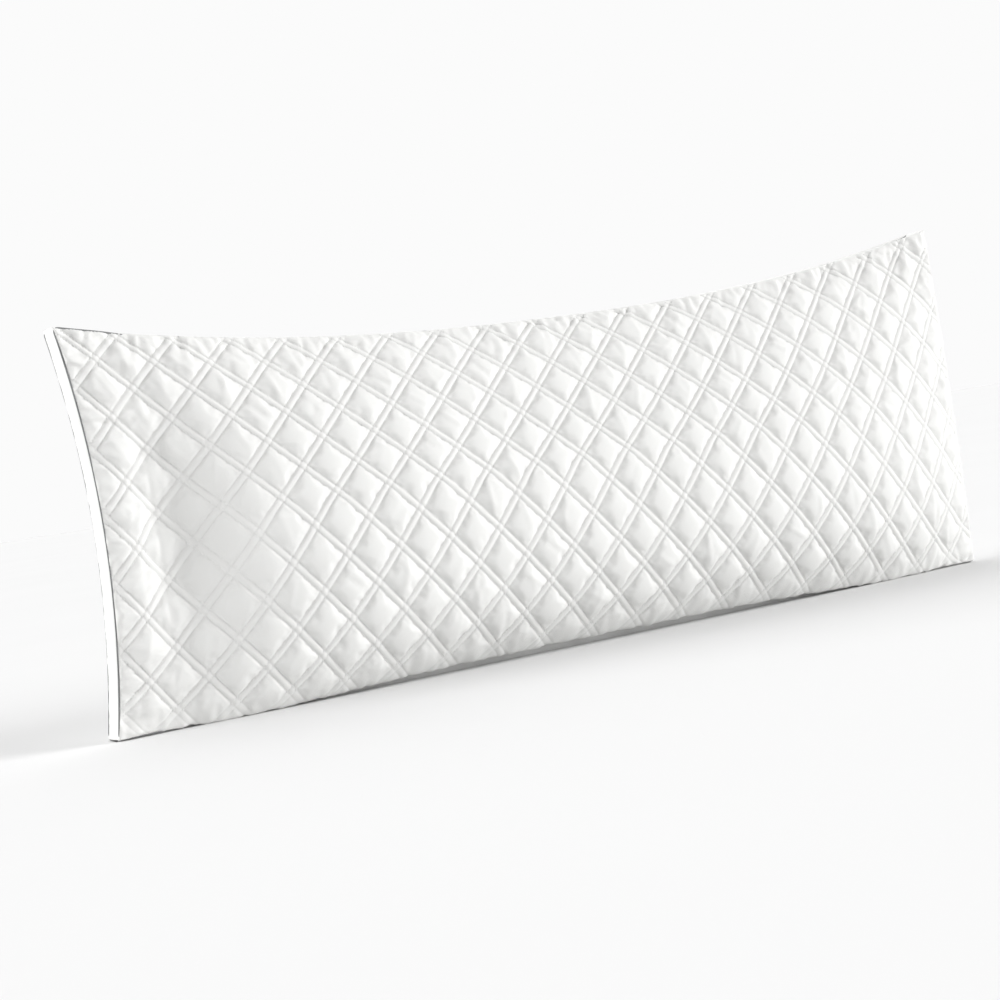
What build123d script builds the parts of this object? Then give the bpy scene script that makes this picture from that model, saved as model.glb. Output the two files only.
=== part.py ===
"""A quilted, boxed body pillow that stands on its long edge.

Millimetres, +Z up, X along the length, Y through the thickness. The front panel faces -Y. The origin is
the middle of the base. Each layer of cloth is a separate closed solid, nested without touching.
"""

import math
import os

from build123d import *

# Driving dimensions of the sewn cover, measured on the seam line.
LEFT_END = 692.0  # the left corners lie this far from the middle
RIGHT_END = 684.0  # and the right corners this far
LEFT_PULL = 24.0  # how far the left end draws in between its corners
RIGHT_PULL = -4.0  # the right end stands out a little
HALF_HEIGHT = 254.0  # half of the cut height
TOP_SAG = 62.0  # how far the top edge draws down at mid-length
TOP_SAG_POWER = 2.3
BASE_ARCH = 12.0  # how far the long bottom seams rise at mid-length
ARCH_SPAN = 0.8  # the arch ends at this share of the half length
GUSSET_WIDTH = 38.0  # the side band, from seam to seam
SEAM_HEIGHT = 2.3  # the bottom seams' height at the corners
ROLL_DEPTH = 16.2  # the panels roll under, just outside the bottom seams
ROLL_REACH = 8.5
ROLL_POWER = 8.0
MIDDLE_HEIGHT = HALF_HEIGHT + SEAM_HEIGHT

# The crown of each panel.
CROWN = 82.0
CROWN_POWER_X = 4.0
CROWN_POWER_Z = 2.5
CROWN_LOW = 0.42  # the fill settles, so the lower half bulges more
END_SHORTENING = 0.7 * CROWN / 688.0  # how much the crown's slope shortens the cloth near the ends
EDGE_SHORTENING = 0.85 * CROWN / HALF_HEIGHT

# Layers from the outside in, each as (depth of its outer face, thickness).
FABRIC = (0.0, 1.0)
WADDING = (1.4, 3.6)
BACKING = (5.4, 1.0)
FILL_DEPTH = 11.0

# The side band.
BAND_THICKNESS = 1.2
BAND_CROWN = 4.5
BAND_HALF_WIDTH = GUSSET_WIDTH / 2 - 3.0  # stops short of the piping
BASE_HALF_FLAT = 12.0  # the flat strip that the pillow stands on
CORNER_GAP = 7.0  # each strip stops this far short of its neighbour

# The piping in both seams.
PIPING_RADIUS = 1.6
PIPING_BORE = 1.1
CORD_RADIUS = 0.7
PIPING_CORNER = 9.0

# A blank folded label in the back seam.
LABEL_WIDTH = 28.0
LABEL_LENGTH = 45.0
LABEL_THICKNESS = 1.0
LABEL_Z = 120.0
LABEL_GAP = 0.6

# How finely the curved faces are sampled.
COLUMNS = 20
ROWS = 28
CROWDING = 0.4  # 0 spaces the samples evenly, 0.5 crowds them at both edges
FILL_STATIONS = 18
FILL_ROWS = 12
FILL_EDGE_X = 0.96
FILL_EDGE_Z = 0.9
FILL_EDGE_GAP = 9.0
BAND_STATIONS = 24
BAND_ROWS = 4
BASE_STATIONS = 20
SEAM_RUNS_LONG = 14
SEAM_RUNS_SHORT = 6
SEAM_BEND = 300.0
EASE_STEPS = 200
PANEL_EDGE_X = 0.993  # a panel's share of the way to the end seam
PANEL_EDGE_Z = 0.984


def clamp(value, low, high):
    return max(low, min(high, value))


def ease(share, power, rise):
    """Where a point of the cloth lies between the middle (0) and the seam (1), as the crown shortens it."""
    widths = []
    for step in range(EASE_STEPS):
        t = (step + 0.5) / EASE_STEPS
        slope = rise * power * t ** (power - 1)
        widths.append((1 - slope * slope) ** 0.5)
    place = clamp(share, 0, 1) * EASE_STEPS
    whole = min(int(place), EASE_STEPS - 1)
    reached = sum(widths[:whole]) + widths[whole] * (place - whole)
    return reached / sum(widths)


def end_x(u, v):
    """X of the end seam on that side, at height share v."""
    if u < 0:
        return -(LEFT_END - LEFT_PULL * (1 - v * v))
    return RIGHT_END - RIGHT_PULL * (1 - v * v)


def base_rise(u):
    """How far the bottom seam stands above its height at the corners."""
    return BASE_ARCH * max(0.0, 1 - (abs(u) / ARCH_SPAN) ** 3) ** 1.5


def seam_z(u, v):
    """Height of the top seam (v = 1) or bottom seam (v = -1) above mid-height."""
    if v > 0:
        return HALF_HEIGHT - TOP_SAG * (1 - abs(u) ** TOP_SAG_POWER)
    return -(HALF_HEIGHT - base_rise(u))


def crown(u, v):
    """How far the panel stands out of the seam's plane."""
    along = 1 - abs(u) ** CROWN_POWER_X
    across = (1 - abs(v) ** CROWN_POWER_Z) * (1 - CROWN_LOW * v)
    return CROWN * along * across


def roll(u, v):
    """How far the weight presses a panel down beside its bottom seam; it fades out upwards and at the ends."""
    from_seam = (1 + v) * HALF_HEIGHT
    beside_seam = 1 - math.exp(-((from_seam / ROLL_REACH) ** 2))
    return ROLL_DEPTH * (1 - abs(u) ** ROLL_POWER) * beside_seam * (1 - v) / 2


def panel_point(u, v, side):
    """The outer face of a panel. u and v run from -1 to 1 over the cut cloth; side is -1 in front."""
    x = ease(abs(u), CROWN_POWER_X, END_SHORTENING) * end_x(u, v)
    y = side * (GUSSET_WIDTH / 2 + crown(u, v))
    z = MIDDLE_HEIGHT - roll(u, v) + ease(abs(v), CROWN_POWER_Z, EDGE_SHORTENING) * seam_z(u, v)
    return Vector(x if u else 0.0, y, z)


def inward(u, v, side):
    """The panel's unit normal, pointing into the pillow."""
    step = 0.004
    along = panel_point(min(u + step, 1), v, side) - panel_point(max(u - step, -1), v, side)
    up = panel_point(u, min(v + step, 1), side) - panel_point(u, max(v - step, -1), side)
    return along.cross(up).normalized() * side


def spread(count, reach):
    """Shares from -reach to reach, closer together near both edges."""
    shares = []
    for i in range(count + 1):
        t = 2 * i / count - 1
        shares.append(reach * ((1 + CROWDING) * t - CROWDING * t**3))
    return shares


def spline_face(grid):
    return Face.make_surface_from_array_of_points(grid, tol=0.02, min_deg=3, max_deg=3)


def closed_between(outer, inner):
    """A solid between two faces that have matching edges."""
    walls = []
    for edge in outer.edges():
        middle = edge.position_at(0.5)
        twin = min(inner.edges(), key=lambda other: (other.position_at(0.5) - middle).length)
        walls.append(Face.make_surface_from_curves(edge, twin))
    return Solid(Shell([outer, inner, *walls]))


def panel_face(depth):
    """One face of a layer of the front panel, that far in from the outside."""
    grid = []
    for u in spread(COLUMNS, PANEL_EDGE_X):
        column = [panel_point(u, v, -1) + inward(u, v, -1) * depth for v in spread(ROWS, PANEL_EDGE_Z)]
        grid.append(column)
    return spline_face(grid)


def write_panel_layer(name, layer):
    """The front layer, and the back one as its mirror image."""
    depth, thickness = layer
    front = closed_between(panel_face(depth), panel_face(depth + thickness))
    write("front_" + name, front)
    write("back_" + name, mirror(front, about=Plane.XZ))


def fill_section(u):
    """The outline of the loose fill at one place along the length, as a closed flat curve."""
    x = ease(abs(u), CROWN_POWER_X, END_SHORTENING) * end_x(u, 0)
    rows = [FILL_EDGE_Z * (2 * i / FILL_ROWS - 1) for i in range(FILL_ROWS + 1)]
    front = [panel_point(u, v, -1) + inward(u, v, -1) * FILL_DEPTH for v in rows]
    base = Vector(x, 0, MIDDLE_HEIGHT + seam_z(u, -1) + FILL_EDGE_GAP)
    top = Vector(x, 0, MIDDLE_HEIGHT + seam_z(u, 1) - FILL_EDGE_GAP)
    points = [base, *[Vector(x, p.Y, p.Z) for p in front], top]
    points += [Vector(x, -p.Y, p.Z) for p in reversed(front)]
    return Wire(Spline(*points, periodic=True))


def fill():
    """The fibre fill, which takes the shape that the cover gives it."""
    sections = [fill_section(u) for u in spread(FILL_STATIONS, FILL_EDGE_X)]
    return Solid.make_loft(sections)


def band_crown(y, share):
    """How far the side band stands out between its seams; share runs from -1 to 1 along the strip."""
    return BAND_CROWN * (1 - (2 * y / GUSSET_WIDTH) ** 2) * (1 - abs(share) ** 6)


def band_strip(place, direction):
    """A strip of the side band. place(share, y) is on its outer face, and direction points outwards."""
    shares = spread(BAND_STATIONS, 1.0)
    across = [BAND_HALF_WIDTH * (2 * i / BAND_ROWS - 1) for i in range(BAND_ROWS + 1)]
    outer = [[place(s, y) for y in across] for s in shares]
    inner = [[place(s, y) - direction * BAND_THICKNESS for y in across] for s in shares]
    return closed_between(spline_face(outer), spline_face(inner))


def top_band():
    length = 1 - CORNER_GAP / RIGHT_END

    def place(share, y):
        u = share * length
        x = ease(abs(u), CROWN_POWER_X, END_SHORTENING) * end_x(u, 1)
        z = MIDDLE_HEIGHT + seam_z(u, 1)
        return Vector(x if u else 0.0, y, z + band_crown(y, share))

    return band_strip(place, Vector(0, 0, 1))


def end_band(side):
    """The strip at the left end (side -1) or the right end (side 1)."""
    low = CORNER_GAP
    high = MIDDLE_HEIGHT + HALF_HEIGHT - CORNER_GAP

    def place(share, y):
        v = share * (1 - CORNER_GAP / HALF_HEIGHT)
        z = (low + high) / 2 + share * (high - low) / 2
        return Vector(end_x(side, v) + side * band_crown(y, share), y, z)

    return band_strip(place, Vector(side, 0, 0))


def base_section(u):
    """The bottom strip across its width: a flat middle on the ground, and flanks up to the two seams."""
    x = clamp(u * LEFT_END, CORNER_GAP - LEFT_END, RIGHT_END - CORNER_GAP)
    seam = SEAM_HEIGHT + base_rise(u)
    outline = [
        (-BAND_HALF_WIDTH, seam),
        (-BASE_HALF_FLAT, 0),
        (BASE_HALF_FLAT, 0),
        (BAND_HALF_WIDTH, seam),
        (BAND_HALF_WIDTH, seam + BAND_THICKNESS),
        (BASE_HALF_FLAT - 0.5, BAND_THICKNESS),
        (0.5 - BASE_HALF_FLAT, BAND_THICKNESS),
        (-BAND_HALF_WIDTH, seam + BAND_THICKNESS),
    ]
    return Wire.make_polygon([Vector(x, y, z) for y, z in outline])


def base_band():
    stations = [2 * i / BASE_STATIONS - 1 for i in range(BASE_STATIONS + 1)]
    return Solid.make_loft([base_section(u) for u in stations], ruled=True)


def seam_loop(y):
    """The closed seam line around a panel, as straight runs joined by arcs."""
    points = []
    along = [2 * i / SEAM_RUNS_LONG - 1 for i in range(SEAM_RUNS_LONG)]
    up = [2 * i / SEAM_RUNS_SHORT - 1 for i in range(SEAM_RUNS_SHORT)]
    for u in along:
        points.append((end_x(u, -1) * abs(u), SEAM_HEIGHT + base_rise(u)))
    for v in up:
        points.append((end_x(1, v), MIDDLE_HEIGHT + v * HALF_HEIGHT))
    for u in along:
        x = end_x(-u, 1) * abs(u)
        points.append((x, MIDDLE_HEIGHT + seam_z(-u, 1)))
    for v in up:
        points.append((end_x(-1, -v), MIDDLE_HEIGHT - v * HALF_HEIGHT))
    corners = (0, len(along), len(along) + len(up), 2 * len(along) + len(up))
    radii = [PIPING_CORNER if i in corners else SEAM_BEND for i in range(len(points))]
    return FilletPolyline(*[(x, y, z) for x, z in points], radius=radii, close=True)


def write_piping(name, y):
    """The piping's fabric tube and the cord inside it, around one panel."""
    path = seam_loop(y)
    start = Plane(origin=path @ 0, z_dir=path % 0)
    tube = start * (Circle(PIPING_RADIUS) - Circle(PIPING_BORE))
    write(name + "_piping_cover", sweep(tube, path=path))
    write(name + "_piping_cord", sweep(start * Circle(CORD_RADIUS), path=path))


def care_label():
    """A blank folded label that lies on the right end strip, with one edge held in the back seam."""
    height_share = LABEL_Z / HALF_HEIGHT - 1
    x = end_x(1, height_share) + BAND_CROWN + LABEL_GAP
    corner = (x, BAND_HALF_WIDTH - LABEL_WIDTH, LABEL_Z - LABEL_LENGTH / 2)
    return Pos(*corner) * Box(LABEL_THICKNESS, LABEL_WIDTH, LABEL_LENGTH, align=Align.MIN)


def write(name, shape):
    export_step(shape, "parts/" + name + ".step")
    print(name, round(shape.volume), shape.bounding_box())


def main():
    os.makedirs("parts", exist_ok=True)
    write_panel_layer("cover_fabric", FABRIC)
    write_panel_layer("quilt_wadding", WADDING)
    write_panel_layer("quilt_backing", BACKING)
    write("fibre_fill", fill())
    write("gusset_top", top_band())
    write("gusset_left_end", end_band(-1))
    write("gusset_right_end", end_band(1))
    write("gusset_base", base_band())
    write_piping("front", -GUSSET_WIDTH / 2)
    write_piping("back", GUSSET_WIDTH / 2)
    write("care_label", care_label())


main()
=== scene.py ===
"""A quilted body pillow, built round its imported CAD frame.

Metres, in the frame of the CAD model: X along the length, Y through the thickness, Z up, front towards -Y.
Cloth is laid out flat in millimetres first (a along the length, b up the height, both from the middle),
then carried onto the pillow's crowned shape.
"""

import math

import bmesh
import bpy
import numpy as np
from mathutils import Matrix, Vector


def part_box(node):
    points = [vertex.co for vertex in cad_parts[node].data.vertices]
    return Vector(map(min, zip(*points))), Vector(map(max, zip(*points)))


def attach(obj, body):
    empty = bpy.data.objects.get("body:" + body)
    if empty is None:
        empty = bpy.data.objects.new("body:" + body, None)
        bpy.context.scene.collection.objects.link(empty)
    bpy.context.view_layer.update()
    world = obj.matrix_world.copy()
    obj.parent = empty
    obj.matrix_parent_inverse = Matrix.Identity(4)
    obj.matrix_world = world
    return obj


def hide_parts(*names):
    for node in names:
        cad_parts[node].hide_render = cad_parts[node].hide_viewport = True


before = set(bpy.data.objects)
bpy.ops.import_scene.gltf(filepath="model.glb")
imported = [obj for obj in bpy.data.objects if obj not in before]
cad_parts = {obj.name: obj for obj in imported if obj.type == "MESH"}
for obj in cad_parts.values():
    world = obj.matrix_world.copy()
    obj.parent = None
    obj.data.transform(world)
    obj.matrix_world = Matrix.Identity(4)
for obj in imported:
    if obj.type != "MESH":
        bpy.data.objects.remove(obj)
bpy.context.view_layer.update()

MM = 0.001
SEED = 7

# The cover's sewn shape in millimetres, the same as the CAD model's.
LEFT_END, RIGHT_END = 692.0, 684.0
LEFT_PULL, RIGHT_PULL = 24.0, -4.0
HALF_HEIGHT = 254.0
HALF_LENGTH = 688.0
TOP_SAG, TOP_SAG_POWER = 62.0, 2.3
BASE_ARCH, ARCH_SPAN = 12.0, 0.8
GUSSET_WIDTH = 38.0
SEAM_HEIGHT = 2.3
MIDDLE_HEIGHT = HALF_HEIGHT + SEAM_HEIGHT
ROLL_DEPTH, ROLL_REACH, ROLL_POWER = 16.2, 8.5, 8.0
CROWN, CROWN_LOW = 82.0, 0.42
CROWN_POWER_X, CROWN_POWER_Z = 4.0, 2.5
END_SHORTENING = 0.7 * CROWN / HALF_LENGTH
EDGE_SHORTENING = 0.85 * CROWN / HALF_HEIGHT

# The fill stops short of the left end, so the panels dip there, which the CAD model leaves out.
DENT = 33.0
DENT_A, DENT_B = -600.0, -20.0
DENT_LONG, DENT_HIGH = 64.0, 150.0
DENT_FROM_SEAM = 70.0

# The quilting: two families of parallel double seams that cross in diamonds.
CELL = 53.4  # from one double seam to the next, along the other family
CROSS_ANGLE = math.radians(46.74)  # each family's slope from the lattice's own level line
LATTICE_TURN = math.radians(-0.38)  # the level line's slope
LATTICE_A, LATTICE_B = -172.6, 91.1  # one crossing, from the middle of the panel
BAND_HALF = 4.6  # half the distance between the two rows of a double seam
ROW_GROOVE = 1.1  # the cloth dips this close to each row of stitches
GROOVE_DEPTH = 0.9
CELL_STEPS = 13  # cloth divisions across a diamond
LAYER_STEPS = 6  # the same for the layers inside
LATTICE_I, LATTICE_J = (-12, 28), (-14, 22)  # the cells that cover the whole panel
PUFF = 5.4  # how high the wadding lifts the middle of a diamond
PUFF_ROUND = 0.7  # below 1 the diamonds are full to their edges
ROW_DEPTH = 1.2  # the stitches pull the cloth this far under the panel's macro shape
BAND_RIDGE = 1.0  # the cloth between the two rows of a double seam stands this much higher
EDGE_FADE = 9.0  # the relief dies out over this distance from a sewn edge
LOWEST = 0.1  # the cover rests on the floor and never dips through it

# Where the full pillow stretches its quilting flat: a patch by the left end, and the lowest strip.
SMOOTH_A, SMOOTH_B = -545.0, -30.0
SMOOTH_LONG, SMOOTH_HIGH = 75.0, 125.0
SMOOTH_PATCH, SMOOTH_STRIP = 0.8, 0.9
SMOOTH_ROWS, SMOOTH_PUFF, SMOOTH_BLOWN = 0.7, 0.85, 0.8  # how much of each is lost where it is smooth
BOTTOM_SMOOTH = 42.0

# Folds across single diamonds: most are near the top, some near the ends and few elsewhere.
FOLDS_PER_CELL = 3
FOLD_CELLS = 60  # more cells than the panel has, each way
FOLD_HEADING, FOLD_TURN = math.radians(95), 0.5
FOLD_OFFSET = 8.0
FOLD_WIDTH, FOLD_HEIGHT = (2.6, 4.6), (0.7, 1.9)
FOLDS_ANYWHERE, FOLDS_TOP, FOLDS_END = 0.12, 0.8, 0.35
FOLDS_TOP_REACH, FOLDS_END_REACH = 130.0, 90.0

# Creases that run in from a seam: how many, how far, how wide and how high.
TOP_CREASES = (130, (16, 60), (2.2, 4.2), (0.9, 2.6))
BASE_CREASES = (100, (22, 60), (2.6, 4.8), (0.5, 1.7))
LEFT_CREASES = (40, (18, 70), (2.6, 5.0), (1.0, 2.8))
RIGHT_CREASES = (40, (14, 50), (2.6, 4.8), (0.7, 2.0))
BAND_CREASES = (90, (4, 9), (1.5, 3.2), (0.2, 0.7))

# The cloth simulation, between stitch rows that stay put.
CLOTH_EASE = -0.03  # the cloth is cut this much larger than the shape it is quilted to
CLOTH_PRESSURE = 6.0
CLOTH_FRAMES = 16
CLOTH_CAP = 5.0  # no point may move further than this in the simulation
CLOTH_START = 0.6  # the diamonds start this full before they are blown up

# The stitches.
STITCH = 2.7
STITCH_PITCH = 4.4
THREAD = 0.6  # radius
THREAD_LIFT = 0.2
THREAD_SINK = -0.8  # a stitch's ends go into the cloth
THREAD_SIDES = 5
STITCH_RINGS = ((-0.5, 0.35), (-0.28, 1.0), (0.28, 1.0), (0.5, 0.35))  # place along it, share of the radius
ROW_END = 3.0  # the rows stop this far from the sewn edge
ROWS_ACROSS, ROWS_ALONG = (-14, 30), (-16, 30)  # the double seams and cells that cover the whole panel

# The side band.
BAND_CROWN = 4.5
BASE_FLAT = 11.0  # half the width that the base band rests on
BAND_COLUMNS = 13
BAND_STEP = 4.0

# The piping.
PIPING_RADIUS = 1.0
PIPING_STEP = 2.5
PIPING_CORNER = 9.0
TUCK_TOP, TUCK_BASE = 3.6, 3.0  # how far the piping lies inside the panel's edge
TUCK_RIGHT, TUCK_LEFT = 3.0, 0.0
OPEN_LEFT = 50.0  # the piping shows for this far along the long seams from the left corners
OPEN_EASE, CORNER_EASE = 80.0, 12.0  # and goes in over these distances there and at the other corners
ON_EDGE = 0.9985  # past this share of the way from the middle, a point is on the sewn edge
HEM_TURN = 0.4  # the piping's middle is this far behind the panel's edge,
HEM_TUCK = 0.8  # and this share of the tuck more where it is tucked in
CORD_RADIUS = 0.7
CORD_PLIES = 3
CORD_TWIST = 12.5  # along the cord, from one ply to the next

# The layers inside, as depths under the panel's macro shape.
WADDING_DEPTH, WADDING_BACK = 2.8, 5.0
WADDING_PUFF, WADDING_RELIEF = 0.55, 0.8  # the wadding follows the quilting less than the cloth does
BACKING_DEPTH, BACKING_BACK = 5.4, 6.4
LAYER_INSET = (0.993, 0.984)
FILL_DEPTH, FILL_LUMPS = 12.2, 0.9
FILL_LONG, FILL_HIGH = 0.97, 0.93
FILL_STATIONS, FILL_TURNS = 120, 72
LABEL_CLOTH = 0.2
LABEL_CURL = 0.8
LABEL_STEPS = 12
LABEL_HELD = 2.5  # the label's ends run this far into the seam

# The staging: white all round, with light from both ends and from behind.
FLOOR_REACH = 60.0 / MM
FLOOR_TONES = (0.795, 0.805)
FLOOR_GLOW = 0.01
SKY_LIGHT = 0.34
SKY_SEEN = 0.965
SUNS = (  # name, the direction it shines from, strength, width in degrees
    ("key", (0.79, -0.55, 0.29), 2.9, 40),
    ("left_rim", (-0.9, 0.26, 0.34), 2.6, 50),
    ("back", (0.1, 0.65, 0.75), 1.22, 60),
)
CAMERA_PLACE = (-1.5365, -2.5708, 0.2734)
CAMERA_YAW, CAMERA_PITCH, CAMERA_TILT = math.radians(29.1), math.radians(1.18), math.radians(-8.956)
CAMERA_LENS = 78.33


# ---------------------------------------------------------------- shape
def ease_table(power, rise):
    """Where cloth lies between the middle and the seam, as the crown shortens it, at 201 even shares."""
    t = (np.arange(200) + 0.5) / 200
    widths = np.sqrt(1 - (rise * power * t ** (power - 1)) ** 2)
    return np.concatenate([[0], np.cumsum(widths)]) / widths.sum()


EASE_X = ease_table(CROWN_POWER_X, END_SHORTENING)
EASE_Z = ease_table(CROWN_POWER_Z, EDGE_SHORTENING)
SHARES = np.linspace(0, 1, 201)


def end_x(u, v):
    left = -(LEFT_END - LEFT_PULL * (1 - v * v))
    right = RIGHT_END - RIGHT_PULL * (1 - v * v)
    return np.where(u < 0, left, right)


def base_rise(u):
    return BASE_ARCH * np.maximum(0, 1 - (np.abs(u) / ARCH_SPAN) ** 3) ** 1.5


def seam_z(u, v):
    top = HALF_HEIGHT - TOP_SAG * (1 - np.abs(u) ** TOP_SAG_POWER)
    return np.where(v > 0, top, -(HALF_HEIGHT - base_rise(u)))


def roll(u, v):
    beside_seam = 1 - np.exp(-(((1 + v) * HALF_HEIGHT / ROLL_REACH) ** 2))
    return ROLL_DEPTH * (1 - np.abs(u) ** ROLL_POWER) * beside_seam * (1 - v) / 2


def panel_point(a, b, side):
    """The macro shape of a panel under its quilting, in millimetres, from flat cloth coordinates."""
    u = np.clip(a / HALF_LENGTH, -1, 1)
    v = np.clip(b / HALF_HEIGHT, -1, 1)
    x = np.interp(np.abs(u), SHARES, EASE_X) * end_x(u, v)
    along = 1 - np.abs(u) ** CROWN_POWER_X
    across = (1 - np.abs(v) ** CROWN_POWER_Z) * (1 - CROWN_LOW * v)
    dent = DENT * np.exp(-(((a - DENT_A) / DENT_LONG) ** 2) - ((b - DENT_B) / DENT_HIGH) ** 2)
    dent = dent * np.clip((HALF_LENGTH + a) / DENT_FROM_SEAM, 0, 1)
    y = side * (GUSSET_WIDTH / 2 + CROWN * along * across - dent)
    z = MIDDLE_HEIGHT - roll(u, v) + np.interp(np.abs(v), SHARES, EASE_Z) * seam_z(u, v)
    return np.stack([x, y, z], -1)


def panel_normal(a, b, side):
    """The unit normal that points out of the pillow."""
    step = 2.0
    along = panel_point(a + step, b, side) - panel_point(a - step, b, side)
    up = panel_point(a, b + step, side) - panel_point(a, b - step, side)
    normal = np.cross(along, up) * -side
    return normal / np.linalg.norm(normal, axis=-1, keepdims=True)


# ---------------------------------------------------------------- quilting lattice
def lattice_run(angle):
    return np.array([math.cos(angle), math.sin(angle)]) * CELL


RUN_1 = lattice_run(LATTICE_TURN - CROSS_ANGLE)
RUN_2 = lattice_run(LATTICE_TURN + CROSS_ANGLE)


def lattice_to_flat(i, j):
    return (
        i * RUN_1[0] + j * RUN_2[0] + LATTICE_A,
        i * RUN_1[1] + j * RUN_2[1] + LATTICE_B,
    )


def flat_to_lattice(a, b):
    inverse = np.linalg.inv(np.stack([RUN_1, RUN_2], 1))
    p = np.stack([a - LATTICE_A, b - LATTICE_B], -1) @ inverse.T
    return p[..., 0], p[..., 1]


def cell_share(t):
    """Where t lies between two double seams, from 0 to 1; outside that it is within one of them."""
    edge = BAND_HALF / CELL
    return (t - np.floor(t) - edge) / (1 - 2 * edge)


def puff_height(i, j, rise):
    """A diamond's rounded relief over the stitch rows round it."""
    s, t = cell_share(i), cell_share(j)
    inside = (s > 0) & (s < 1) & (t > 0) & (t < 1)
    dome = (np.clip(4 * s * (1 - s), 0, 1) * np.clip(4 * t * (1 - t), 0, 1)) ** PUFF_ROUND
    return np.where(inside, rise * dome, 0)


def cell_creases(a, b):
    """Soft folds across some of the diamonds, as a height at each point."""
    i, j = flat_to_lattice(a, b)
    rng = np.random.default_rng(SEED + 50)
    shape = (FOLD_CELLS, FOLD_CELLS, FOLDS_PER_CELL)
    heading = rng.normal(FOLD_HEADING, FOLD_TURN, shape)
    offset = rng.normal(0, FOLD_OFFSET, shape)
    width = rng.uniform(*FOLD_WIDTH, shape)
    chance = rng.uniform(0, 1, shape)
    height = rng.uniform(*FOLD_HEIGHT, shape) * rng.choice([-1, 1, 1], shape)
    cell_i, cell_j = np.floor(i).astype(int), np.floor(j).astype(int)
    middle_a, middle_b = lattice_to_flat(cell_i + 0.5, cell_j + 0.5)
    s, t = cell_share(i), cell_share(j)
    hold = np.clip(4 * s * (1 - s), 0, 1) * np.clip(4 * t * (1 - t), 0, 1)
    by_top = np.exp(-(((HALF_HEIGHT - b) / FOLDS_TOP_REACH) ** 2))
    by_end = np.exp(-(((HALF_LENGTH - np.abs(a)) / FOLDS_END_REACH) ** 2))
    busy = FOLDS_ANYWHERE + FOLDS_TOP * by_top + FOLDS_END * by_end
    relief = np.zeros_like(a)
    for k in range(FOLDS_PER_CELL):
        cell = (cell_i + FOLD_CELLS // 2, cell_j + FOLD_CELLS // 2, k)
        turn = heading[cell]
        across = (b - middle_b) * np.cos(turn) - (a - middle_a) * np.sin(turn) - offset[cell]
        fold = height[cell] * np.exp(-((across / width[cell]) ** 2))
        relief += np.where(chance[cell] < busy, fold, 0)
    return relief * np.where((s > 0) & (t > 0), hold**0.6, 0)


def quilted_sheet(cell_steps):
    """The flat panel, divided along the quilting and cut to the sewn rectangle: (flat points, faces)."""
    edge, groove = BAND_HALF / CELL, ROW_GROOVE / CELL
    inner = np.linspace(edge + groove, 1 - edge - groove, cell_steps + 1)
    marks = np.concatenate([[0.0, edge - groove, edge], inner, [1 - edge, 1 - edge + groove]])
    i_lines = np.concatenate([marks + k for k in range(*LATTICE_I)])
    j_lines = np.concatenate([marks + k for k in range(*LATTICE_J)])
    i, j = np.meshgrid(i_lines, j_lines, indexing="ij")
    a, b = lattice_to_flat(i, j)
    near = (np.abs(a) < HALF_LENGTH + 8) & (np.abs(b) < HALF_HEIGHT + 8)
    corner = near[:-1, :-1] & near[1:, :-1] & near[1:, 1:] & near[:-1, 1:]
    index = np.arange(i.size).reshape(i.shape)
    quads = np.stack([index[:-1, :-1], index[1:, :-1], index[1:, 1:], index[:-1, 1:]], -1)[corner]
    used, faces = np.unique(quads, return_inverse=True)
    points = np.stack([a.ravel()[used], b.ravel()[used], np.zeros(len(used))], -1)
    mesh = bpy.data.meshes.new("sheet")
    mesh.from_pydata(points.tolist(), [], faces.reshape(-1, 4).tolist())
    sheet = bmesh.new()
    sheet.from_mesh(mesh)
    for place, out in (((HALF_LENGTH, 0), (1, 0)), ((0, HALF_HEIGHT), (0, 1))):
        for way in (1, -1):
            geometry = sheet.verts[:] + sheet.edges[:] + sheet.faces[:]
            centre = (place[0] * way, place[1] * way, 0)
            normal = (out[0] * way, out[1] * way, 0)
            bmesh.ops.bisect_plane(
                sheet, geom=geometry, dist=0.25, plane_co=centre, plane_no=normal, clear_outer=True
            )
    sheet.verts.index_update()
    flat = np.array([v.co[:2] for v in sheet.verts])
    polygons = [[v.index for v in f.verts] for f in sheet.faces]
    sheet.free()
    bpy.data.meshes.remove(mesh)
    return flat, polygons


# ---------------------------------------------------------------- creases that run in from the seams
def seam_creases(count, length_range, width_range, height_range, rng):
    """Random creases that start on a seam: place along it (0 to 1), slant, reach, half width and height."""
    places = (np.arange(count) + rng.uniform(-0.35, 0.35, count)) / count
    return {
        "place": places,
        "slant": rng.normal(0, 0.28, count),
        "reach": rng.uniform(*length_range, count),
        "width": rng.uniform(*width_range, count),
        "height": rng.uniform(*height_range, count) * rng.choice([-1, 1, 1], count),
    }


def crease_relief(along, inward_distance, creases, span):
    """The summed height of one edge's creases; along runs over span millimetres."""
    relief = np.zeros_like(along)
    near = inward_distance < creases["reach"].max() * 1.6
    for place, slant, reach, width, height in zip(*creases.values()):
        line = (place - 0.5) * span + slant * inward_distance[near]
        across = (along[near] - line) / (width * (1 + inward_distance[near] / reach))
        fade = np.exp(-((inward_distance[near] / reach) ** 2)) * np.clip(inward_distance[near] / 3, 0, 1)
        relief[near] += height * np.exp(-across * across) * fade
    return relief


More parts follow.
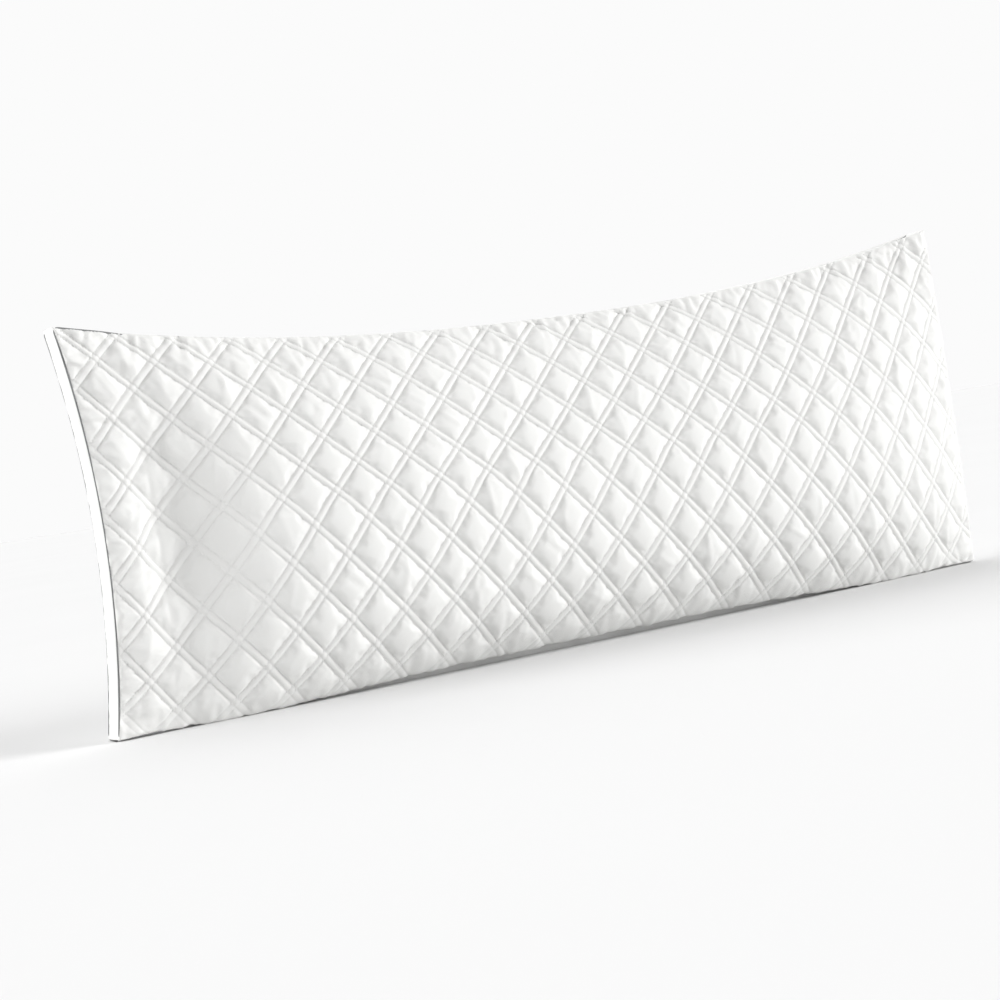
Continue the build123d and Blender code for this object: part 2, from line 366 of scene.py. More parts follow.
def edge_relief(a, b):
    """Puckers where the panel is gathered into its four seams, in millimetres."""
    rng = np.random.default_rng(SEED)
    top, base, left, right = (
        seam_creases(*creases, rng)
        for creases in (TOP_CREASES, BASE_CREASES, LEFT_CREASES, RIGHT_CREASES)
    )
    relief = crease_relief(a, HALF_HEIGHT - b, top, 2 * HALF_LENGTH)
    relief += crease_relief(a, HALF_HEIGHT + b, base, 2 * HALF_LENGTH)
    relief += crease_relief(b, HALF_LENGTH + a, left, 2 * HALF_HEIGHT)
    relief += crease_relief(b, HALF_LENGTH - a, right, 2 * HALF_HEIGHT)
    return relief


def smoothness(a, b):
    """0 where the quilting is plump and 1 where the full pillow stretches it flat."""
    patch = np.exp(-(((a - SMOOTH_A) / SMOOTH_LONG) ** 2) - ((b - SMOOTH_B) / SMOOTH_HIGH) ** 2)
    strip = np.exp(-(((b + HALF_HEIGHT) / BOTTOM_SMOOTH) ** 4))
    return np.clip(SMOOTH_PATCH * patch + SMOOTH_STRIP * strip, 0, 1)


# ---------------------------------------------------------------- meshes
def new_object(name, points, faces, smooth=True):
    """A mesh object; points are in millimetres."""
    mesh = bpy.data.meshes.new(name)
    mesh.from_pydata((np.asarray(points) * MM).tolist(), [], faces)
    mesh.polygons.foreach_set("use_smooth", [smooth] * len(mesh.polygons))
    mesh.update()
    piece = bpy.data.objects.new(name, mesh)
    bpy.context.scene.collection.objects.link(piece)
    return piece


def grid_faces(rows, columns, close_rows=False):
    """Quads of a grid of points in row-major order; close_rows joins each row's end to its start."""
    faces = []
    for r in range(rows - 1):
        for c in range(columns if close_rows else columns - 1):
            d = (c + 1) % columns
            faces.append((r * columns + c, r * columns + d, (r + 1) * columns + d, (r + 1) * columns + c))
    return faces


# ---------------------------------------------------------------- the quilted panels
def from_edge(a, b):
    return np.minimum(HALF_LENGTH - np.abs(a), HALF_HEIGHT - np.abs(b))


def row_height(a, b):
    """How high the stitch rows lie over the macro shape."""
    fade = np.clip(from_edge(a, b) / EDGE_FADE, 0, 1)
    return -ROW_DEPTH * (1 - SMOOTH_ROWS * smoothness(a, b)) * fade + edge_relief(a, b)


def quilt_height(a, b, rise):
    """The quilted relief: plump diamonds, low ridges along the double seams, and the seam puckers."""
    i, j = flat_to_lattice(a, b)
    fade = np.clip(from_edge(a, b) / EDGE_FADE, 0, 1) ** 0.5
    ridge = np.zeros_like(a)
    groove = np.zeros_like(a)
    for lattice in (i, j):
        from_line = np.abs(lattice - np.round(lattice)) * CELL
        ridge = np.maximum(ridge, BAND_RIDGE * np.clip(1 - (from_line / BAND_HALF) ** 2, 0, 1))
        groove = np.maximum(groove, np.clip(1 - np.abs(from_line - BAND_HALF) / ROW_GROOVE, 0, 1))
    plump = 1 - SMOOTH_PUFF * smoothness(a, b)
    puff = puff_height(i, j, rise)
    return row_height(a, b) + (puff + ridge - GROOVE_DEPTH * groove) * plump * fade


def free_cloth(a, b):
    """True for the cloth between the stitch rows, which may move when it is simulated."""
    i, j = flat_to_lattice(a, b)
    s, t = cell_share(i), cell_share(j)
    inside = (s > 0.01) & (s < 0.99) & (t > 0.01) & (t < 0.99)
    return inside & (from_edge(a, b) > 0.6)


def simulate_cloth(piece, pinned):
    """Blows the slightly oversized cloth up between its pinned stitch rows, and gives its new points."""
    group = piece.vertex_groups.new(name="stitched")
    group.add([int(k) for k in np.flatnonzero(pinned)], 1.0, "REPLACE")
    cloth = piece.modifiers.new("Cloth", "CLOTH")
    settings = cloth.settings
    settings.quality = 4
    settings.mass = 0.05
    settings.tension_stiffness = 12
    settings.compression_stiffness = 6
    settings.shear_stiffness = 3
    settings.bending_stiffness = 0.3
    settings.tension_damping = 8
    settings.compression_damping = 8
    settings.shear_damping = 5
    settings.air_damping = 2
    settings.vertex_group_mass = "stitched"
    settings.use_pressure = True
    settings.uniform_pressure_force = CLOTH_PRESSURE
    settings.shrink_min = CLOTH_EASE
    settings.effector_weights.gravity = 0
    cloth.collision_settings.use_collision = False
    cloth.point_cache.frame_start = 1
    cloth.point_cache.frame_end = CLOTH_FRAMES
    for frame in range(1, CLOTH_FRAMES + 1):
        bpy.context.scene.frame_set(frame)
    graph = bpy.context.evaluated_depsgraph_get()
    moved = np.zeros(len(piece.data.vertices) * 3, np.float32)
    piece.evaluated_get(graph).data.vertices.foreach_get("co", moved)
    piece.modifiers.clear()
    piece.vertex_groups.clear()
    bpy.context.scene.frame_set(1)
    return moved.reshape(-1, 3).astype(float)


def front_cloth():
    """The front panel's cloth as (points in millimetres, faces)."""
    flat, faces = quilted_sheet(CELL_STEPS)
    a, b = flat[:, 0], flat[:, 1]
    rise = CLOTH_START * PUFF
    start = panel_point(a, b, -1) + panel_normal(a, b, -1) * quilt_height(a, b, rise)[:, None]
    piece = new_object("cloth_to_simulate", start, faces)
    moved = simulate_cloth(piece, ~free_cloth(a, b)) / MM
    step = moved - start
    length = np.linalg.norm(step, axis=1, keepdims=True)
    step *= np.minimum(1, CLOTH_CAP / np.maximum(length, 1e-6))
    bpy.data.objects.remove(piece)
    blown = start + step * (1 - SMOOTH_BLOWN * smoothness(a, b))[:, None]
    creases = cell_creases(a, b) * (1 - smoothness(a, b)) * np.clip(from_edge(a, b) / EDGE_FADE, 0, 1)
    return hemmed(a, b, blown + panel_normal(a, b, -1) * creases[:, None], faces)


def hemmed(flat_a, flat_b, points, faces):
    """Keeps the panel above the floor and adds the strip that turns in from its edge to the piping."""
    points[:, 2] = np.maximum(points[:, 2], LOWEST)
    sheet = bmesh.new()
    verts = [sheet.verts.new(p) for p in points]
    for face in faces:
        sheet.faces.new([verts[k] for k in face])
    sheet.verts.index_update()
    border = [edge for edge in sheet.edges if edge.is_boundary]
    made = bmesh.ops.extrude_edge_only(sheet, edges=border)["geom"]
    from_u, from_v = flat_a / HALF_LENGTH, flat_b / HALF_HEIGHT
    for vert in (item for item in made if isinstance(item, bmesh.types.BMVert)):
        twin = next(e.other_vert(vert) for e in vert.link_edges if e.other_vert(vert).index < len(points))
        u, v = from_u[twin.index], from_v[twin.index]
        on_u = np.sign(u) if abs(u) > ON_EDGE else u
        on_v = np.sign(v) if abs(v) > ON_EDGE else v
        x, z, from_middle = tucked(points[twin.index][0], points[twin.index][2], on_u, on_v)
        vert.co = (x, -from_middle, z)
    sheet.verts.index_update()
    all_points = np.array([tuple(v.co) for v in sheet.verts])
    all_faces = [[v.index for v in f.verts] for f in sheet.faces]
    sheet.free()
    return all_points, all_faces


def mirrored(points, faces):
    """The same piece on the back of the pillow."""
    return points * np.array([1, -1, 1]), [face[::-1] for face in faces]


# ---------------------------------------------------------------- stitches
def row_points(family, way):
    """The middles and directions of one family's stitches, on the flat cloth."""
    edge = BAND_HALF / CELL
    step = STITCH_PITCH / CELL
    across = np.arange(*ROWS_ACROSS) + way * edge
    along = np.arange(*ROWS_ALONG, step)
    first, second = np.meshgrid(across, along, indexing="ij")
    i, j = (first, second) if family == 1 else (second, first)
    a, b = lattice_to_flat(i.ravel(), j.ravel())
    direction = (RUN_2 if family == 1 else RUN_1) / CELL
    keep = (from_edge(a, b) > ROW_END) & (b > BOTTOM_SMOOTH - HALF_HEIGHT - 8)
    return a[keep], b[keep], direction


def stitch_faces(count):
    """The sides and the two ends of count spindles."""
    sides, rings = THREAD_SIDES, len(STITCH_RINGS)
    spindle = np.array(grid_faces(rings, sides, close_rows=True))
    last = (rings - 1) * sides
    ends = np.array([range(sides - 1, -1, -1), range(last, last + sides)])
    starts = np.arange(count)[:, None, None] * rings * sides
    return (spindle + starts).reshape(-1, 4).tolist() + (ends + starts).reshape(-1, sides).tolist()


def stitch_rows(family):
    """All the stitches of one family of double seams, as short spindles: (points, faces)."""
    parts = [row_points(family, way) for way in (-1, 1)]
    a = np.concatenate([part[0] for part in parts])
    b = np.concatenate([part[1] for part in parts])
    direction = parts[0][2]
    rings = []
    for place, radius in STITCH_RINGS:
        along_a = a + direction[0] * place * STITCH
        along_b = b + direction[1] * place * STITCH
        normal = panel_normal(along_a, along_b, -1)
        lift = THREAD_LIFT if radius == 1.0 else THREAD_SINK
        centre = panel_point(along_a, along_b, -1) + normal * (row_height(along_a, along_b) + lift)[:, None]
        ahead = panel_point(along_a + direction[0], along_b + direction[1], -1)
        behind = panel_point(along_a - direction[0], along_b - direction[1], -1)
        tangent = (ahead - behind) / np.linalg.norm(ahead - behind, axis=1, keepdims=True)
        side = np.cross(normal, tangent)
        for turn in range(THREAD_SIDES):
            angle = 2 * math.pi * turn / THREAD_SIDES
            reach = side * math.cos(angle) + normal * math.sin(angle)
            rings.append(centre + reach * THREAD * radius)
    return np.stack(rings, 1).reshape(-1, 3), stitch_faces(len(a))


# ---------------------------------------------------------------- the side band
def band_pucker(along, y, salt):
    """Light puckers where the band is gathered into both seams."""
    rng = np.random.default_rng(SEED + salt)
    relief = np.zeros_like(along)
    for side in (-1, 1):
        creases = seam_creases(*BAND_CREASES, rng)
        span = along.max() - along.min()
        middle = (along.max() + along.min()) / 2
        relief += crease_relief(along - middle, GUSSET_WIDTH / 2 - side * y, creases, span)
    return relief


def band_grid(length, tuck):
    """Shares along a strip, how far it is tucked in there, and y across it from piping to piping."""
    share = np.linspace(-1, 1, int(2 * length / BAND_STEP))
    across = np.sin(np.linspace(-1, 1, BAND_COLUMNS) * math.pi / 2)
    share, across = np.meshgrid(share, across, indexing="ij")
    tuck = tuck * (tuck_along(share) if length == HALF_LENGTH else tuck_up(share))
    return share, tuck, across * (GUSSET_WIDTH / 2 - HEM_TURN - HEM_TUCK * np.abs(tuck))


def band_crown(share, y):
    return BAND_CROWN * (1 - (2 * y / GUSSET_WIDTH) ** 2) * (1 - np.abs(share) ** 6)


def top_band():
    share, tuck, y = band_grid(HALF_LENGTH, TUCK_TOP)
    x = np.interp(np.abs(share), SHARES, EASE_X) * end_x(share, 1)
    relief = band_crown(share, y) + band_pucker(share * HALF_LENGTH, y, 1)
    z = MIDDLE_HEIGHT + seam_z(share, 1) - tuck + relief
    return np.stack([x, y, z], -1)


def base_band():
    share, tuck, y = band_grid(HALF_LENGTH, TUCK_BASE)
    x = np.interp(np.abs(share), SHARES, EASE_X) * end_x(share, -1)
    up = np.clip((np.abs(y) - BASE_FLAT) / (np.abs(y).max(axis=1, keepdims=True) - BASE_FLAT), 0, 1)
    seam = SEAM_HEIGHT + base_rise(share) + tuck
    return np.stack([x, y, seam * up * up * (3 - 2 * up)], -1)


def end_band(side):
    share, tuck, y = band_grid(HALF_HEIGHT, TUCK_RIGHT if side > 0 else TUCK_LEFT)
    z = MIDDLE_HEIGHT + share * HALF_HEIGHT
    stand = band_crown(share, y) + band_pucker(share * HALF_HEIGHT, y, 3 + side) - tuck
    return np.stack([end_x(side, share) + side * stand, y, z], -1)


def make_band(name, grid, flip):
    faces = grid_faces(grid.shape[0], grid.shape[1])
    if flip:
        faces = [face[::-1] for face in faces]
    return new_object(name, grid.reshape(-1, 3), faces)


# ---------------------------------------------------------------- the piping
def smooth_step(t):
    t = np.clip(t, 0, 1)
    return t * t * (3 - 2 * t)


def tuck_along(u):
    """How fully a long seam is tucked in: not at all by the left end, nor right at the right corner."""
    from_left, from_right = (1 + u) * HALF_LENGTH, (1 - u) * HALF_LENGTH
    return smooth_step((from_left - OPEN_LEFT) / OPEN_EASE) * smooth_step(from_right / CORNER_EASE)


def tuck_up(v):
    """How fully an end seam is tucked in between its corners."""
    return smooth_step((1 - np.abs(v)) * HALF_HEIGHT / CORNER_EASE)


def tucked(x, z, u, v):
    """A point of the panel's edge, moved in to where the piping runs."""
    open_u, open_v = tuck_along(u), tuck_up(v)
    down = np.where(v >= 1, TUCK_TOP * open_u, np.where(v <= -1, -TUCK_BASE * open_u, 0))
    inside = np.where(u >= 1, TUCK_RIGHT * open_v, np.where(u <= -1, -TUCK_LEFT * open_v, 0))
    behind = HEM_TURN + HEM_TUCK * (np.abs(down) + np.abs(inside))
    return np.stack([x - inside, z - down, GUSSET_WIDTH / 2 - behind], -1)


def seam_line():
    """Where the piping runs round a panel, as evenly spaced (x, z, distance from the middle plane) points."""
    u = np.linspace(-1, 1, 400)[:-1]
    one = np.ones_like(u)
    eased = np.interp(np.abs(u), SHARES, EASE_X)
    bottom = tucked(eased * end_x(u, -1), SEAM_HEIGHT + base_rise(u), u, -one)
    right = tucked(end_x(one, u), MIDDLE_HEIGHT + u * HALF_HEIGHT, one, u)
    top = tucked(eased * end_x(-u, 1), MIDDLE_HEIGHT + seam_z(-u, 1), -u, one)
    left = tucked(end_x(-one, -u), MIDDLE_HEIGHT - u * HALF_HEIGHT, -one, -u)
    loop = np.concatenate([bottom, right, top, left])
    closed = np.concatenate([loop, loop[:1]])
    reach = np.concatenate([[0], np.cumsum(np.linalg.norm(np.diff(closed, axis=0), axis=1))])
    count = int(reach[-1] / PIPING_STEP)
    even = np.linspace(0, reach[-1], count, endpoint=False)
    line = np.stack([np.interp(even, reach, closed[:, k]) for k in range(3)], -1)
    window = int(PIPING_CORNER / PIPING_STEP)
    return sum(np.roll(line, k, axis=0) for k in range(-window, window + 1)) / (2 * window + 1)


def tube(line, side, radius, sides, plies, twist):
    """A closed tube round the seam; plies and twist lay a rope's strands on it."""
    ahead = (np.roll(line, -1, axis=0) - np.roll(line, 1, axis=0))[:, :2]
    ahead /= np.linalg.norm(ahead, axis=1, keepdims=True)
    out = np.stack([ahead[:, 1], -ahead[:, 0]], -1)
    travelled = np.arange(len(line)) * PIPING_STEP
    points = np.zeros((len(line), sides, 3))
    for k in range(sides):
        angle = 2 * math.pi * k / sides
        swell = 1 + 0.16 * np.cos(plies * angle + 2 * math.pi * travelled / twist) if plies else 1.0
        points[:, k, 0] = line[:, 0] + out[:, 0] * math.cos(angle) * radius * swell
        points[:, k, 1] = side * line[:, 2] + math.sin(angle) * radius * swell
        points[:, k, 2] = line[:, 1] + out[:, 1] * math.cos(angle) * radius * swell
    faces = grid_faces(len(line), sides, close_rows=True)
    last = (len(line) - 1) * sides
    faces += [(last + c, last + (c + 1) % sides, (c + 1) % sides, c) for c in range(sides)]
    return points.reshape(-1, 3), faces


# ---------------------------------------------------------------- the layers inside
def slab(outer_height, inner_height):
    """A closed layer of the front quilt between two heights, each a function of the flat cloth."""
    flat, faces = quilted_sheet(LAYER_STEPS)
    a, b = (flat * np.array(LAYER_INSET)).T
    base, normal = panel_point(a, b, -1), panel_normal(a, b, -1)
    outer = base + normal * outer_height(a, b)[:, None]
    inner = base + normal * inner_height(a, b)[:, None]
    sheet = bmesh.new()
    low = [sheet.verts.new(p) for p in outer]
    high = [sheet.verts.new(p) for p in inner]
    for face in faces:
        sheet.faces.new([low[k] for k in face])
        sheet.faces.new([high[k] for k in reversed(face)])
    bmesh.ops.bridge_loops(sheet, edges=[e for e in sheet.edges if e.is_boundary])
    points = [tuple(v.co) for v in sheet.verts]
    sheet.verts.index_update()
    closed = [[v.index for v in f.verts] for f in sheet.faces]
    sheet.free()
    return np.array(points), closed


def wadding_height(a, b):
    return quilt_height(a, b, WADDING_PUFF * PUFF) * WADDING_RELIEF - WADDING_DEPTH


def level(depth):
    """A layer's face at one depth all over."""
    return lambda a, b: np.full_like(a, -depth)


def folded_label():
    """A blank satin ribbon, folded in half, whose two ends are held in the back seam."""
    low, high = ([v / MM for v in corner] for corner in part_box("care_label"))
    turns = np.linspace(-math.pi / 2, math.pi / 2, 9)
    gap = (high[0] - low[0]) / 2 - LABEL_CLOTH
    near = [(low[0] + LABEL_CLOTH, y) for y in np.linspace(high[1] + LABEL_HELD, low[1] + gap, LABEL_STEPS)]
    fold = [(low[0] + LABEL_CLOTH + gap * (1 + math.sin(t)), low[1] + gap * (1 - math.cos(t))) for t in turns]
    far = [(high[0] - LABEL_CLOTH, y) for y in np.linspace(low[1] + gap, high[1] + LABEL_HELD, LABEL_STEPS)]
    path = near + fold[1:-1] + far
    heights = np.linspace(low[2], high[2], 16)
    points = []
    for x, y in path:
        lift = (high[1] - y) / (high[1] - low[1])
        for z in heights:
            curl = LABEL_CURL * lift * lift * math.sin((z - low[2]) / (high[2] - low[2]) * math.pi)
            points.append((x + curl, y, z))
    label = new_object("folded_label", points, grid_faces(len(path), len(heights)))
    thick = label.modifiers.new("thickness", "SOLIDIFY")
    thick.thickness = LABEL_CLOTH * MM
    thick.offset = 0
    graph = bpy.context.evaluated_depsgraph_get()
    made = bpy.data.meshes.new_from_object(label.evaluated_get(graph))
    label.modifiers.clear()
    label.data = made
    return label


def fill_form():
    """The loose fibre as one lumpy closed form, wrapped round the pillow in rings."""
    stations = np.sin(np.linspace(-1, 1, FILL_STATIONS) * math.pi / 2) * FILL_LONG
    turns = np.linspace(0, 2 * math.pi, FILL_TURNS, endpoint=False)
    u, turn = np.meshgrid(stations, turns, indexing="ij")
    v = FILL_HIGH * np.sin(turn)
    thin = np.clip(np.abs(np.cos(turn)) * 3, 0, 1) ** 0.5
    end = np.sqrt(np.clip(1 - (np.abs(u) / 0.975) ** 10, 0, 1))
    lumps = np.sin(u * 31 + 3 * np.sin(v * 5)) * np.sin(v * 11 + 2 * np.cos(u * 17))
    side = np.where(np.cos(turn) > 0, -1.0, 1.0)
    point = panel_point(u * HALF_LENGTH, v * HALF_HEIGHT, -1)
    depth = np.maximum(np.abs(point[..., 1]) - FILL_DEPTH + FILL_LUMPS * lumps, 2.0)
    points = np.stack([point[..., 0], side * depth * thin * end, point[..., 2]], -1)
    faces = grid_faces(len(stations), len(turns), close_rows=True)
    last = (len(stations) - 1) * len(turns)
    faces += [list(range(len(turns))), list(range(last + len(turns) - 1, last - 1, -1))]
    return points.reshape(-1, 3), faces


# ---------------------------------------------------------------- materials
def material(name):
    """A new material, its node tree, its shader and its object coordinates."""
    made = bpy.data.materials.new(name)
    made.use_nodes = True
    tree = made.node_tree
    shader = tree.nodes["Principled BSDF"]
    coordinates = tree.nodes.new("ShaderNodeTexCoord")
    return made, tree, shader, coordinates.outputs["Object"]


def noise(tree, place, scale, detail=3.0, roughness=0.5):
    node = tree.nodes.new("ShaderNodeTexNoise")
    node.inputs["Scale"].default_value = scale
    node.inputs["Detail"].default_value = detail
    node.inputs["Roughness"].default_value = roughness
    tree.links.new(place, node.inputs["Vector"])
    return node.outputs["Fac"]


def wave(tree, place, axis, pitch, distortion=0.0):
    """Parallel ridges, one every pitch metres along an axis."""
    node = tree.nodes.new("ShaderNodeTexWave")
    node.bands_direction = axis
    node.inputs["Scale"].default_value = 2 * math.pi / (20 * pitch)
    node.inputs["Distortion"].default_value = distortion
    tree.links.new(place, node.inputs["Vector"])
    return node.outputs["Fac"]


def turned(tree, place, about_y):
    """The coordinates turned about Y, for a weave that runs on the bias."""
    node = tree.nodes.new("ShaderNodeMapping")
    node.inputs["Rotation"].default_value = (0, about_y, 0)
    tree.links.new(place, node.inputs["Vector"])
    return node.outputs["Vector"]


def combine(tree, operation, first, second):
    node = tree.nodes.new("ShaderNodeMath")
    node.operation = operation
    for socket, value in zip(node.inputs, (first, second)):
        if isinstance(value, float):
            socket.default_value = value
        else:
            tree.links.new(value, socket)
    return node.outputs["Value"]


def colour_range(tree, share, dark, light):
    node = tree.nodes.new("ShaderNodeValToRGB")
    node.color_ramp.elements[0].color = (*dark, 1)
    node.color_ramp.elements[1].color = (*light, 1)
    node.color_ramp.elements[0].position = 0.3
    node.color_ramp.elements[1].position = 0.7
    tree.links.new(share, node.inputs["Fac"])
    return node.outputs["Color"]


def rough_range(tree, shader, share, low, high):
    node = tree.nodes.new("ShaderNodeMapRange")
    node.inputs["To Min"].default_value = low
    node.inputs["To Max"].default_value = high
    tree.links.new(share, node.inputs["Value"])
    tree.links.new(node.outputs["Result"], shader.inputs["Roughness"])


def bump(tree, shader, height, distance, strength=1.0, under=None):
    node = tree.nodes.new("ShaderNodeBump")
    node.inputs["Distance"].default_value = distance
    node.inputs["Strength"].default_value = strength
    tree.links.new(height, node.inputs["Height"])
    if under is not None:
        tree.links.new(under, node.inputs["Normal"])
    tree.links.new(node.outputs["Normal"], shader.inputs["Normal"])
    return node.outputs["Normal"]


def microfibre(name, colour, pitch):
    """Brushed, closely woven cloth with a faint sheen and soft crinkles."""
    made, tree, shader, place = material(name)
    dark = tuple(c * 0.965 for c in colour)
    tree.links.new(colour_range(tree, noise(tree, place, 9.0), dark, colour), shader.inputs["Base Color"])
    rough_range(tree, shader, noise(tree, place, 60.0), 0.62, 0.78)
    crinkle = bump(tree, shader, noise(tree, place, 75.0, 4.0, 0.55), 0.0007, 0.35)
    across = combine(tree, "MAXIMUM", wave(tree, place, "X", pitch), wave(tree, place, "Z", pitch))
    bump(tree, shader, across, 0.00008, 0.5, under=crinkle)
    shader.inputs["Sheen Weight"].default_value = 0.15
    shader.inputs["Sheen Roughness"].default_value = 0.45
    shader.inputs["Specular IOR Level"].default_value = 0.3
    return made


def bias_cloth(name, colour, pitch):
    """The piping's cloth, cut on the bias so that its twill runs slantwise."""
    made, tree, shader, place = material(name)
    dark = tuple(c * 0.72 for c in colour)
    slant = turned(tree, place, math.radians(45))
    twill = combine(tree, "MULTIPLY", wave(tree, slant, "X", pitch), wave(tree, slant, "Z", pitch * 1.7))
    tree.links.new(colour_range(tree, twill, dark, colour), shader.inputs["Base Color"])
    rough_range(tree, shader, noise(tree, place, 300.0), 0.6, 0.85)
    bump(tree, shader, twill, 0.00015, 0.6)
    shader.inputs["Sheen Weight"].default_value = 0.1
    return made


def thread(name, colour):
    """Spun polyester sewing thread, with its twist as fine slanting ridges."""
    made, tree, shader, place = material(name)
    slant = turned(tree, place, math.radians(20))
    plies = wave(tree, slant, "X", 0.0004)
    dark = tuple(c * 0.9 for c in colour)
    tree.links.new(colour_range(tree, plies, dark, colour), shader.inputs["Base Color"])
    rough_range(tree, shader, noise(tree, place, 400.0), 0.4, 0.55)
    bump(tree, shader, plies, 0.00006, 0.5)
    shader.inputs["Sheen Weight"].default_value = 0.2
    return made


def loose_fibre(name, colour, scale, depth):
    """Matted or loose fibre: tangled streaks at two scales."""
    made, tree, shader, place = material(name)
    fine = noise(tree, place, scale * 6, 5.0, 0.7)
    both = combine(tree, "ADD", combine(tree, "MULTIPLY", noise(tree, place, scale, 4.0, 0.6), 0.7), fine)
    dark = tuple(c * 0.86 for c in colour)
    tree.links.new(colour_range(tree, both, dark, colour), shader.inputs["Base Color"])
    rough_range(tree, shader, fine, 0.85, 1.0)
    bump(tree, shader, both, depth, 0.8)
    shader.inputs["Sheen Weight"].default_value = 0.3
    return made


def satin(name, colour):
    made, tree, shader, place = material(name)
    ribs = wave(tree, place, "Z", 0.0003)
    dark = tuple(c * 0.95 for c in colour)
    tree.links.new(colour_range(tree, noise(tree, place, 90.0), dark, colour), shader.inputs["Base Color"])
    rough_range(tree, shader, noise(tree, place, 200.0), 0.28, 0.4)
    bump(tree, shader, ribs, 0.00003, 0.4)
    shader.inputs["Sheen Weight"].default_value = 0.1
    return made


WHITE = (0.84, 0.84, 0.825)
COVER = microfibre("white_microfibre", WHITE, 0.0005)
BAND = microfibre("band_microfibre", (0.83, 0.83, 0.82), 0.0007)
GREY_PIPING = bias_cloth("grey_piping_cloth", (0.26, 0.265, 0.27), 0.0006)
THREAD_WHITE = thread("white_thread", (0.88, 0.88, 0.87))
WADDING = loose_fibre("polyester_wadding", (0.8, 0.8, 0.79), 180.0, 0.0006)
BACKING = loose_fibre("nonwoven_backing", (0.78, 0.78, 0.78), 420.0, 0.0001)
FIBRE = loose_fibre("fibre_fill", (0.84, 0.84, 0.83), 60.0, 0.003)
CORD = loose_fibre("cotton_cord", (0.72, 0.7, 0.66), 700.0, 0.0001)
LABEL = satin("label_satin", (0.78, 0.78, 0.78))


def finish_piece(piece, cloth, slot_name, *nodes):
    """Gives a piece its material and its body, and hides the CAD nodes that it stands for; slot_name is not
    used.
    """
    piece.data.materials.append(cloth)
    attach(piece, "root")
    if nodes:
        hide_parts(*nodes)
    return piece


# ---------------------------------------------------------------- build
def build_panels():
    points, faces = front_cloth()
    for word, layer in (("front", (points, faces)), ("back", mirrored(points, faces))):
        panel = new_object(word + "_quilted_panel", *layer)
        finish_piece(panel, COVER, "cover_fabric", word + "_cover_fabric")


def build_layers():
    """The wadding and its backing behind both panels."""
    front_wadding = slab(wadding_height, level(WADDING_BACK))
    front_backing = slab(level(BACKING_DEPTH), level(BACKING_BACK))
    for word, turn in (("front", lambda layer: layer), ("back", lambda layer: mirrored(*layer))):
        wadding = new_object(word + "_wadding", *turn(front_wadding))
        finish_piece(wadding, WADDING, "quilt_wadding", word + "_quilt_wadding")
        backing = new_object(word + "_backing", *turn(front_backing))
        finish_piece(backing, BACKING, "quilt_backing", word + "_quilt_backing")


def build_fill():
    fill = new_object("loose_fill", *fill_form())
    finish_piece(fill, FIBRE, "fibre_fill", "fibre_fill")


def build_stitches():
    for family, word in ((1, "rising"), (2, "falling")):
        rows = stitch_rows(family)
        finish_piece(new_object("front_stitches_" + word, *rows), THREAD_WHITE, "cover_fabric")
        finish_piece(new_object("back_stitches_" + word, *mirrored(*rows)), THREAD_WHITE, "cover_fabric")


def build_bands():
    bands = (
        ("top_band", top_band(), True, "gusset_top"),
        ("base_band", base_band(), False, "gusset_base"),
        ("left_end_band", end_band(-1), True, "gusset_left_end"),
        ("right_end_band", end_band(1), False, "gusset_right_end"),
    )
    for name, grid, flip, node in bands:
        finish_piece(make_band(name, grid, flip), BAND, "gusset_fabric", node)


def build_piping():
    """The bias piping round both panels, each with its cord inside."""
    seam = seam_line()
    for word, side in (("front", -1), ("back", 1)):
        cover = new_object(word + "_piping", *tube(seam, side, PIPING_RADIUS, 12, 0, 1))
        finish_piece(cover, GREY_PIPING, "piping_fabric", word + "_piping_cover")
        cord = new_object(word + "_cord", *tube(seam, side, CORD_RADIUS, 9, CORD_PLIES, CORD_TWIST))
        finish_piece(cord, CORD, "piping_cord", word + "_piping_cord")


# ---------------------------------------------------------------- staging
def stage():
    """A wide white floor; the sky behind it is as bright, so that the two run together."""
    points = [(x * FLOOR_REACH, y * FLOOR_REACH, 0) for x, y in ((-1, -1), (1, -1), (1, 1), (-1, 1))]
    floor = new_object("studio_floor", points, [(0, 1, 2, 3)])
    made, tree, shader, place = material("studio_white")
    dark, light = ((tone, tone, tone) for tone in FLOOR_TONES)
    tone = colour_range(tree, noise(tree, place, 0.8), dark, light)
    tree.links.new(tone, shader.inputs["Base Color"])
    shader.inputs["Roughness"].default_value = 1.0
    shader.inputs["Specular IOR Level"].default_value = 0.0
    shader.inputs["Emission Color"].default_value = (1, 1, 1, 1)
    shader.inputs["Emission Strength"].default_value = FLOOR_GLOW
    floor.data.materials.append(made)


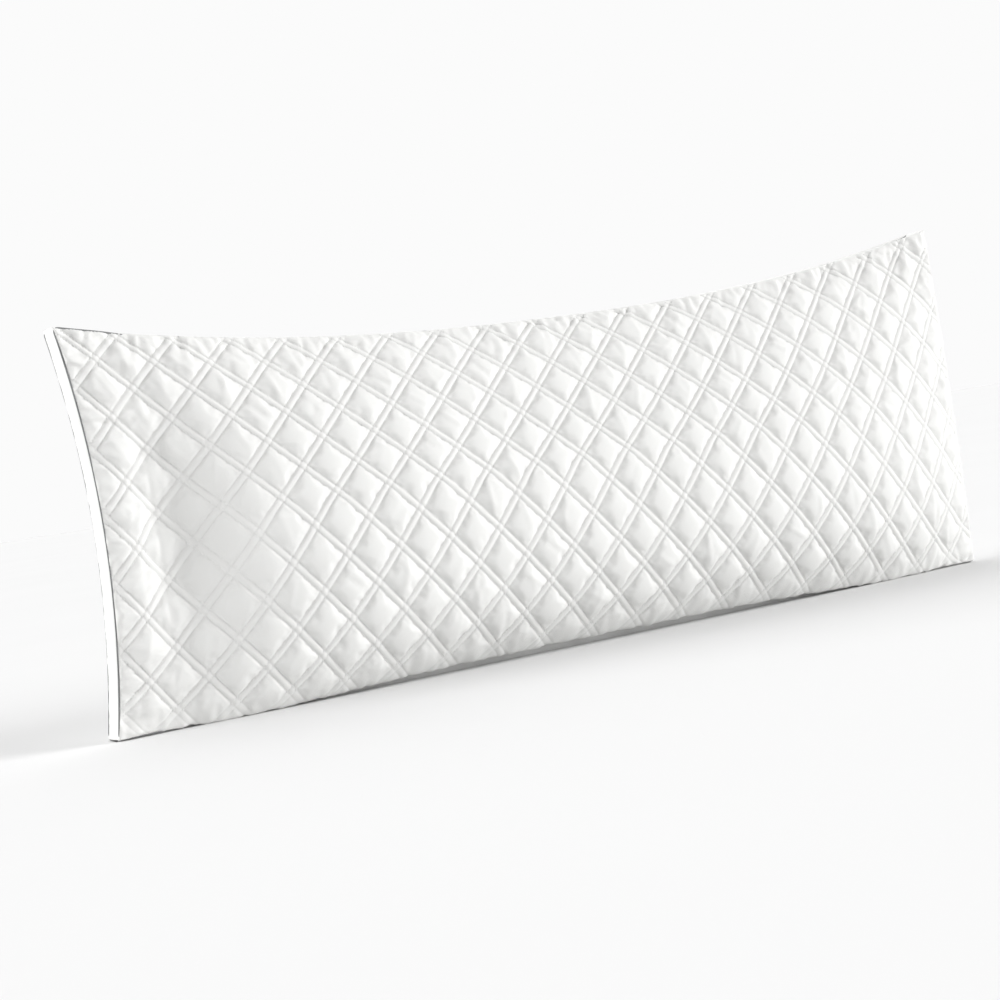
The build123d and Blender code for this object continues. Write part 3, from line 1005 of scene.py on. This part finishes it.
def soft_sun(name, towards, strength, softness):
    """Light from far away, in the direction given, as wide as softness in degrees."""
    lamp = bpy.data.lights.new(name, "SUN")
    lamp.energy = strength
    lamp.angle = math.radians(softness)
    holder = bpy.data.objects.new(name, lamp)
    bpy.context.scene.collection.objects.link(holder)
    holder.rotation_euler = Vector(towards).to_track_quat("Z", "Y").to_euler()


def camera():
    """Low, left of the middle, and tilted, so that the pillow climbs to the right."""
    ahead, down = math.cos(CAMERA_PITCH), math.sin(CAMERA_PITCH)
    forward = Vector((math.sin(CAMERA_YAW) * ahead, math.cos(CAMERA_YAW) * ahead, -down))
    across = forward.cross(Vector((0, 0, 1))).normalized()
    up = across.cross(forward)
    right = across * math.cos(CAMERA_TILT) + up * math.sin(CAMERA_TILT)
    top = up * math.cos(CAMERA_TILT) - across * math.sin(CAMERA_TILT)
    data = bpy.data.cameras.new("camera")
    data.lens = CAMERA_LENS
    data.sensor_width = 36.0
    data.clip_end = 100.0
    holder = bpy.data.objects.new("camera", data)
    bpy.context.scene.collection.objects.link(holder)
    turn = Matrix((right, top, -forward)).transposed().to_4x4()
    holder.matrix_world = Matrix.Translation(CAMERA_PLACE) @ turn
    bpy.context.scene.camera = holder


def sky():
    """Even white light, and a white behind everything that matches the floor."""
    world = bpy.data.worlds.new("studio")
    world.use_nodes = True
    tree = world.node_tree
    light = tree.nodes["Background"]
    light.inputs["Color"].default_value = (1, 1, 1, 1)
    light.inputs["Strength"].default_value = SKY_LIGHT
    seen = tree.nodes.new("ShaderNodeBackground")
    seen.inputs["Color"].default_value = (1, 1, 1, 1)
    seen.inputs["Strength"].default_value = SKY_SEEN
    path = tree.nodes.new("ShaderNodeLightPath")
    mix = tree.nodes.new("ShaderNodeMixShader")
    tree.links.new(path.outputs["Is Camera Ray"], mix.inputs["Fac"])
    tree.links.new(light.outputs["Background"], mix.inputs[1])
    tree.links.new(seen.outputs["Background"], mix.inputs[2])
    tree.links.new(mix.outputs["Shader"], tree.nodes["World Output"].inputs["Surface"])
    bpy.context.scene.world = world


build_panels()
build_layers()
build_fill()
finish_piece(folded_label(), LABEL, "care_label", "care_label")
build_stitches()
build_bands()
build_piping()
stage()
camera()
sky()
for sun in SUNS:
    soft_sun(*sun)
bpy.context.scene.view_settings.view_transform = "Standard"
